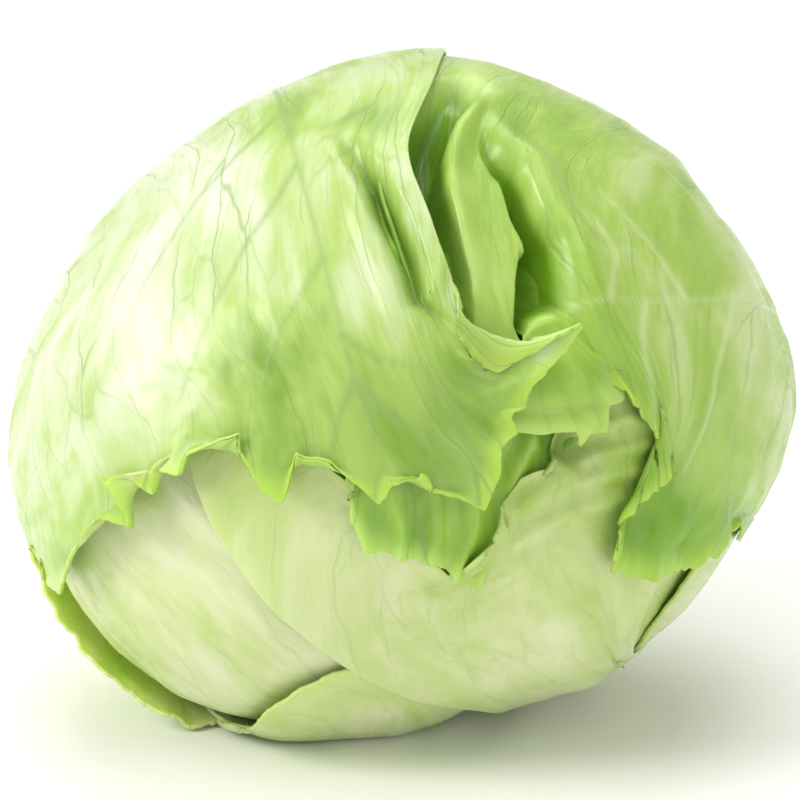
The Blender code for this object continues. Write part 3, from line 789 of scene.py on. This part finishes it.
front_leaf = leaf_sheet(
    "front_leaf_sheet",
    [
        rib(286, 291, (20, -76), (0, -65), (-12, -50), (-27, -26)),
        rib(293, 296, (24, -70), (8, -56), (-4, -42), (-12, -22)),
        rib(301, 301, (30, -66), (17, -53), (10, -45), (8, -38)),
        rib(308, 306, (38, -62), (27, -48), (21, -37), (19, -28)),
        rib(316, 311, (47, -58), (38, -42), (31, -29), (28, -18)),
        rib(322, 314, (52, -62), (45, -50), (43, -36), (43, -22)),
        rib(326, 317, (57, -62), (51, -50), (51, -38), (55, -28)),
    ],
    [(-36, -6), (-26, -7), (-19, -7), (-12, -10), (-6, -15), (0, -23), (5, -29), (9, -33), (13, -28),
     (18, -22), (17, -17), (20, -13), (25, -11), (27, -5), (33, 0), (40, 3), (50, -2), (60, -14)],
    ends=[0, 3, 7, 10, 13, 15, 17], base=[0.3, 0.5] + [0.6] * 5, tip=[2.2, 2.3, 2.4, 2.1, 1.8, 1.6, 1.6],
    columns=270, rows=150, crowd=1.3, teeth=0.4, ruffle=1.0, ruffle_length=9, lift=0.8, ribbing=0.35,
    blister=0.2, midrib=1.2, bulges=[(20, -28, 8, 1.2)], own_folds=rolled_rim,
    tints=[(38, -10, 15, 0.4), (24, -15, 7, 0.2), (16, -26, 7, 0.2), (50, -40, 16, 0.2), (-10, -30, 20, 0.05),
           (20, -45, 18, 0.1)],
    seed=5.0,
)
settle(front_leaf, "front_leaf", pale_tissue)

# ----------------------------------------------------------------------------------------------------------
# Lower left leaf: a pale inner leaf with strong ribs, wrapped round the lower left of the head. The cap
# leaf, the front leaf and the underside leaf lie over its margins.
# ----------------------------------------------------------------------------------------------------------

lower_left_leaf = leaf_sheet(
    "lower_left_leaf_sheet",
    [
        rib(198, 202, (-88, -42), (-86, -32), (-82, -24), (-78, -15)),
        rib(222, 229, (-63, -71), (-65, -58), (-66, -46), (-67, -34)),
        rib(238, 245, (-42, -80), (-47, -66), (-51, -46), (-58, -30)),
        rib(254, 259, (-18, -74), (-27, -56), (-40, -36), (-54, -20)),
        rib(268, 270, (-2, -68), (-12, -48), (-28, -28), (-48, -8)),
        rib(282, 281, (12, -64), (2, -46), (-14, -26), (-36, -4)),
    ],
    [(-73, -10), (-66, -18), (-58, -16), (-54, -10), (-48, -2), (-34, 2)],
    ends=range(6), base=[2.4, 1.9, 2.2, 3.0, 3.4, 3.6], tip=[2.3, 1.7, 2.0, 2.8, 3.2, 3.6],
    columns=200, rows=120, teeth=0.3, ruffle=0.3, ribbing=0.9, blister=0.5,
    tints=[(-56, -50, 9, 0.3), (-40, -30, 16, -0.1)], seed=6.0,
)
settle(lower_left_leaf, "lower_left_leaf", pale_tissue)

# ----------------------------------------------------------------------------------------------------------
# Leaves low on the right: two pale inner leaves, one over the other. The lower right leaf runs up under the
# front leaf and the frill. The right outer leaf ends at the side, where its margin leaves a narrow dark
# slit.
# ----------------------------------------------------------------------------------------------------------

lower_right_leaf = leaf_sheet(
    "lower_right_leaf_sheet",
    [
        rib(304, 303, (48, -70), (44, -62), (36, -42), (32, -26)),
        rib(316, 315, (60, -60), (56, -52), (50, -40), (46, -24)),
        rib(328, 327, (72, -47), (68, -42), (60, -32), (56, -16)),
        rib(340, 339, (84, -32), (80, -28), (72, -18), (64, -6)),
    ],
    [(30, -22), (40, -14), (50, -6), (62, -2)],
    ends=range(4), base=[2.4, 1.25, 1.15, 1.3], tip=[3.0] * 4, dips=0.62, columns=140, rows=100, teeth=0.3,
    ruffle=0.3, tints=[(56, -46, 14, 0.3)], seed=7.0,
)
settle(lower_right_leaf, "lower_right_leaf", pale_tissue)

right_outer_leaf = leaf_sheet(
    "right_outer_leaf_sheet",
    [
        side_rib(322, 318, (84, 313)), side_rib(332, 328, (72, 322)), side_rib(342, 340, (70, 333)),
        side_rib(354, 352, (74, 345)),
    ],
    [polar(84, 313), polar(76, 317), polar(72, 322), polar(70, 328), polar(70, 333), polar(72, 339),
     polar(74, 345)],
    ends=[0, 2, 4, 6], base=[0.8, 0.6, 0.6, 0.7], tip=[1.05, 0.8, 0.65, 0.7], columns=140, rows=90,
    teeth=0.5, ruffle=0.3, ribbing=0.25, blister=0.2, midrib=1.0, seed=8.0,
)
settle(right_outer_leaf, "right_outer_leaf", pale_tissue)

# ----------------------------------------------------------------------------------------------------------
# Crown green leaf: the dark green leaf under the cap leaf's margin. It hangs over the left side of the front
# leaf's cleft and runs under the right side. Raised ribs fan out towards its margin.
# ----------------------------------------------------------------------------------------------------------

RIB_SPACING = 6.2  # degrees, about 9 mm
RIB_RISE = 0.9  # millimetres


def crown_ribs(places):
    """Raised ribs that spread and waver a little on their way to the margin."""
    fan = places[:, 0] / (1 + 0.012 * (places[:, 1] + 20)) + 0.8 * np.sin(places[:, 1] / 3.0)
    return RIB_RISE - 2 * RIB_RISE * np.abs(np.cos(np.pi * fan / RIB_SPACING)) ** 3


def crown_follows(along):
    """The leaf bridges the end of the pleat instead of dropping into it."""
    return 1 - 0.6 * smooth_step(0.6, 0.8, along)


crown_green_leaf = leaf_sheet(
    "crown_green_leaf_sheet",
    [
        rib(60, 58, (30, 56), (36, 40), (44, 20), (48, 0)),
        rib(88, 86, (2, 64), (6, 38), (14, 14), (20, -6)),
        rib(112, 110, (-22, 58), (-13, 34), (-4, 12), (5, -9)),
        rib(130, 128, (-40, 48), (-30, 26), (-18, 8), (-5, -8)),
        rib(146, 144, (-56, 34), (-44, 18), (-28, 6), (-9, 0)),
    ],
    [(46, -18), (34, -27), (22, -33), (13, -35), (7, -30), (0, -28), (-6, -25), (-8, -18), (-7, -10),
     (-8, -5)],
    ends=[0, 2, 4, 7, 9], base=[3.6, 3.3, 2.2, 1.2, 1.2], tip=[2.5, 2.4, 1.3, 1.0, 1.0],
    columns=220, rows=130, crowd=1.4, teeth=0.8, ruffle=1.2, ruffle_length=8, ribbing=0.9, blister=0.6,
    own_folds=crown_ribs, follows=crown_follows, seed=9.0,
)
# Green crown leaf: young tissue that the light reached, deep green and glossy, with pale ribs.
green_tissue = leaf_tissue("green_crown_leaf", pale="#c9e28a", mid="#9dc645", deep="#72a226", edge="#bbdc68",
                           greenness=0.6, margin_green=0.1, streaks=0.4, blotches=0.3, seed=21.0)
settle(crown_green_leaf, "crown_green_leaf", green_tissue)

# ----------------------------------------------------------------------------------------------------------
# Crown tip leaf: the curled end of an inner green leaf. The rest of it lies at the bottom of the pleat, and
# only its tip comes up out of it, under the cap leaf's flap, in a small ruffled fan.
# ----------------------------------------------------------------------------------------------------------

TIP_CREASE = [(15, -1), (22, -2), (30, -1)]
TIP_CREASE_DEPTH = 1.4
TIP_CREASE_WIDTH = 1.1


def tip_crease(places):
    """A shallow crease across the fan."""
    return TIP_CREASE_DEPTH * np.exp(-((beside(places, TIP_CREASE)[0] / TIP_CREASE_WIDTH) ** 2))


def comes_out(along):
    """The leaf follows the pleat's bottom nearly to its end, then comes up out of it."""
    return 1 - smooth_step(0.895, 0.935, along)


crown_tip_leaf = leaf_sheet(
    "crown_tip_leaf_sheet",
    [
        rib(66, 64, (20, 62), (19, 42), (21.5, 22), (19, 8)),
        rib(60, 58, (24, 60), (20.5, 41), (22.8, 22), (22, 10)),
        rib(54, 52, (28, 56), (21.5, 40), (24, 22), (26, 11)),
        rib(48, 46, (32, 52), (22.5, 39), (25.5, 22), (30, 9)),
    ],
    [(15, 3), (14, -3), (17, -5), (22, -5.5), (27, -5), (28, -7.5), (29, -5), (32, -5), (32, -1), (34, 0),
     (35, 2), (33, 5), (31, 8)],
    ends=[0, 4, 8, 12], base=[2.2] * 4, tip=[0.8, 0.8, 0.7, 0.7], columns=150, rows=110, crowd=1.5,
    teeth=0.7, ruffle=1.0, ruffle_length=7, lift=1.0, own_folds=tip_crease, follows=comes_out,
    bulges=[(26, 3, 4, 2.0), (29, -4, 3, 1.0)], tints=[(24, 4, 8, -0.15)], seed=10.0,
)
settle(crown_tip_leaf, "crown_tip_leaf", green_tissue)

# ----------------------------------------------------------------------------------------------------------
# Heart leaves: the two pale yellow leaves that close the head under its outer ones, an upper and a lower
# one, each wrapped half round the heart.
# ----------------------------------------------------------------------------------------------------------

heart_leaf_upper = leaf_sheet(
    "heart_leaf_upper_sheet",
    [
        rib(10, 6, (80, 6), (70, 4), (52, 0), (40, -6)),
        rib(40, 36, (64, 44), (54, 34), (36, 22), (24, 10)),
        rib(72, 70, (26, 72), (20, 56), (12, 34), (6, 16)),
        rib(104, 104, (-20, 72), (-18, 56), (-14, 34), (-10, 16)),
        rib(136, 138, (-58, 50), (-50, 40), (-38, 24), (-28, 8)),
        rib(168, 174, (-82, 6), (-72, 4), (-56, 0), (-44, -6)),
    ],
    [(34, -8), (20, 2), (4, 6), (-8, 4), (-22, 0), (-38, -8)],
    ends=range(6), base=[6] * 6, tip=[6] * 6, columns=130, rows=80, seed=11.0,
)
heart_leaf_lower = leaf_sheet(
    "heart_leaf_lower_sheet",
    [
        rib(178, 172, (-82, 12), (-72, 12), (-54, 12), (-40, 14)),
        rib(208, 206, (-74, -34), (-62, -28), (-44, -18), (-28, -8)),
        rib(242, 244, (-34, -68), (-28, -54), (-20, -32), (-10, -14)),
        rib(276, 276, (8, -72), (6, -56), (4, -34), (6, -16)),
        rib(310, 308, (50, -58), (42, -44), (32, -28), (26, -12)),
        rib(344, 346, (80, -16), (70, -14), (50, -8), (40, 2)),
    ],
    [(-30, 16), (-18, 0), (-4, -4), (8, -6), (22, -2), (32, 10)],
    ends=range(6), base=[7.1] * 6, tip=[7.1] * 6, columns=130, rows=80, seed=12.0,
)
# Pale heart leaf: it never saw light, so it is cream and yellow, with hardly any green.
heart_tissue = leaf_tissue("pale_heart_leaf", pale="#f2f3cf", mid="#dfe8a2", deep="#b9cf63", edge="#d8e68f",
                           greenness=0.4, streaks=0.5, seed=30.0)
settle(heart_leaf_upper, "heart_leaf_upper", heart_tissue)
settle(heart_leaf_lower, "heart_leaf_lower", heart_tissue)

# ----------------------------------------------------------------------------------------------------------
# Heart: the inner leaves, folded so tightly round the end of the stem that they are one dense mass. Nothing
# of it shows, so it keeps its plain shape.
# ----------------------------------------------------------------------------------------------------------

# Packed heart leaves: cream and yellow, with the leaves' edges as faint wavy lines about 5 mm apart.
packed_leaves, tree, shader = new_material("packed_heart_leaves")
place = add(tree, "ShaderNodeTexCoord").outputs["Object"]
layers = add(
    tree, "ShaderNodeTexWave", {"wave_type": "RINGS", "rings_direction": "SPHERICAL"},
    Vector=place, Scale=60.0, Distortion=6.0, Detail=2.0, Detail_Scale=1.5,
).outputs["Fac"]
yellow = add(
    tree, "ShaderNodeMix", {"data_type": "RGBA"}, i0=layers, i6=linear("#eef0c2"), i7=linear("#dbe398")
).outputs[2]
tree.links.new(yellow, shader.inputs["Base Color"])
shader.inputs["Roughness"].default_value = 0.5
shader.inputs["Subsurface Weight"].default_value = 0.2
shader.inputs["Subsurface Scale"].default_value = 0.003
heart = frame["nodes"]["heart"]
heart.data.materials.clear()
heart.data.materials.append(packed_leaves)

# ----------------------------------------------------------------------------------------------------------
# Stem: the butt that the head was cut from its root by. Crisp white flesh with a ring of sap vessels, cut
# across with a knife, then browned in air, most of all round its rim. Every leaf grows out of its side.
# ----------------------------------------------------------------------------------------------------------

stem_node = frame["nodes"]["stem"]
stem_corners = [stem_node.matrix_world @ vertex.co for vertex in stem_node.data.vertices]
STEM_REACH = max((corner - CENTRE).dot(-CROWN) for corner in stem_corners)
STEM_RADIUS = STEM_REACH * math.tan(math.radians(STEM_HALF_ANGLE)) * 1.02
STEM_SEGMENTS = 128
STEM_RINGS = 14
STEM_DEEP = 0.016
STEM_STEPS = 6  # bands of faces down its side
STEM_ROUNDING = 0.0008
STEM_SINK = 0.0004  # the cut face lies this far below the highest point
LOBES = 0.025  # how far its outline is from a circle, as a share

bm = bmesh.new()
bmesh.ops.create_circle(bm, cap_ends=True, segments=STEM_SEGMENTS, radius=STEM_RADIUS)
cut = bm.faces[:]
rim = bm.edges[:]
for _ in range(STEM_RINGS):
    bmesh.ops.inset_region(bm, faces=cut, thickness=STEM_RADIUS / (STEM_RINGS + 1.5))
for _ in range(STEM_STEPS):
    made = bmesh.ops.extrude_edge_only(bm, edges=rim)["geom"]
    rim = [item for item in made if isinstance(item, bmesh.types.BMEdge)]
    for vertex in [item for item in made if isinstance(item, bmesh.types.BMVert)]:
        vertex.co.z -= STEM_DEEP / STEM_STEPS
        vertex.co.xy *= 1 - STEM_DEEP / STEM_STEPS / STEM_REACH
points = np.array([vertex.co for vertex in bm.verts])
around = np.arctan2(points[:, 1], points[:, 0])
from_middle = np.hypot(points[:, 0], points[:, 1]) / STEM_RADIUS
lobes = LOBES * grain(np.column_stack([2.2 * np.cos(around), 2.2 * np.sin(around)]), 41.0)
uneven = grain(points / 0.0022, 42.0) * 0.12 + grain(points / 0.006, 43.0) * 0.35
edge = STEM_ROUNDING * smooth_step(0.9, 1.0, from_middle) * (points[:, 2] > -1e-6)
onto = (-CROWN).to_track_quat("Z", "Y").to_matrix()
for vertex, lobe, bump, drop in zip(bm.verts, lobes, uneven, edge):
    vertex.co.xy *= 1 + lobe
    vertex.co.z += bump * MM * (vertex.co.z > -1e-6) - drop - STEM_SINK
    vertex.co = onto @ vertex.co + CENTRE - CROWN * STEM_REACH
bmesh.ops.recalc_face_normals(bm, faces=bm.faces)
stem_mesh = bpy.data.meshes.new("cut_stem_butt")
bm.to_mesh(stem_mesh)
bm.free()
stem_mesh.attributes.new("stem_mm", "FLOAT_VECTOR", "POINT").data.foreach_set(
    "vector", (points / MM).astype(np.float32).ravel()
)
stem_mesh.shade_smooth()
stem = bpy.data.objects.new("cut_stem_butt", stem_mesh)
bpy.context.scene.collection.objects.link(stem)

# Cut stem flesh: moist and cream, with a greener ring of vessels, and rusty brown where the air has got at
# it.
stem_flesh, tree, shader = new_material("cut_stem_flesh")
place = add(tree, "ShaderNodeAttribute", {"attribute_name": "stem_mm"}).outputs["Vector"]
flat_place = add(tree, "ShaderNodeVectorMath", {"operation": "MULTIPLY"}, i0=place, i1=(1, 1, 0))
from_axis = add(tree, "ShaderNodeVectorMath", {"operation": "LENGTH"}, i0=flat_place).outputs["Value"]
mottle = add(tree, "ShaderNodeTexNoise", None, Vector=place, Scale=0.28, Detail=5.0)
wavy = add(tree, "ShaderNodeMath", {"operation": "MULTIPLY_ADD"}, i0=mottle, i1=5.0, i2=from_axis)
outward = add(tree, "ShaderNodeMapRange", None, i0=wavy, i1=0.0, i2=17.5)
rings = add(tree, "ShaderNodeValToRGB", None, Fac=outward)
steps = rings.color_ramp.elements
steps[0].position, steps[0].color = 0.0, linear("#e4dcae")
steps[1].position, steps[1].color = 1.0, linear("#b58c5a")
for position, code in ((0.42, "#e9e3bd"), (0.56, "#cfc98a"), (0.66, "#e3d9a8"), (0.82, "#d0b37c")):
    steps.new(position).color = linear(code)
tree.links.new(rings.outputs["Color"], shader.inputs["Base Color"])
# Fibres about 1 mm apart, cut across.
fibres = add(tree, "ShaderNodeTexVoronoi", None, Vector=place, Scale=1.1)
bump = add(tree, "ShaderNodeBump", None, Height=fibres, Strength=0.5, Distance=0.0004)
tree.links.new(bump.outputs["Normal"], shader.inputs["Normal"])
shader.inputs["Roughness"].default_value = 0.55
shader.inputs["Subsurface Weight"].default_value = 0.2
shader.inputs["Subsurface Radius"].default_value = (1.0, 0.8, 0.4)
shader.inputs["Subsurface Scale"].default_value = 0.003
settle(stem, "stem", stem_flesh)
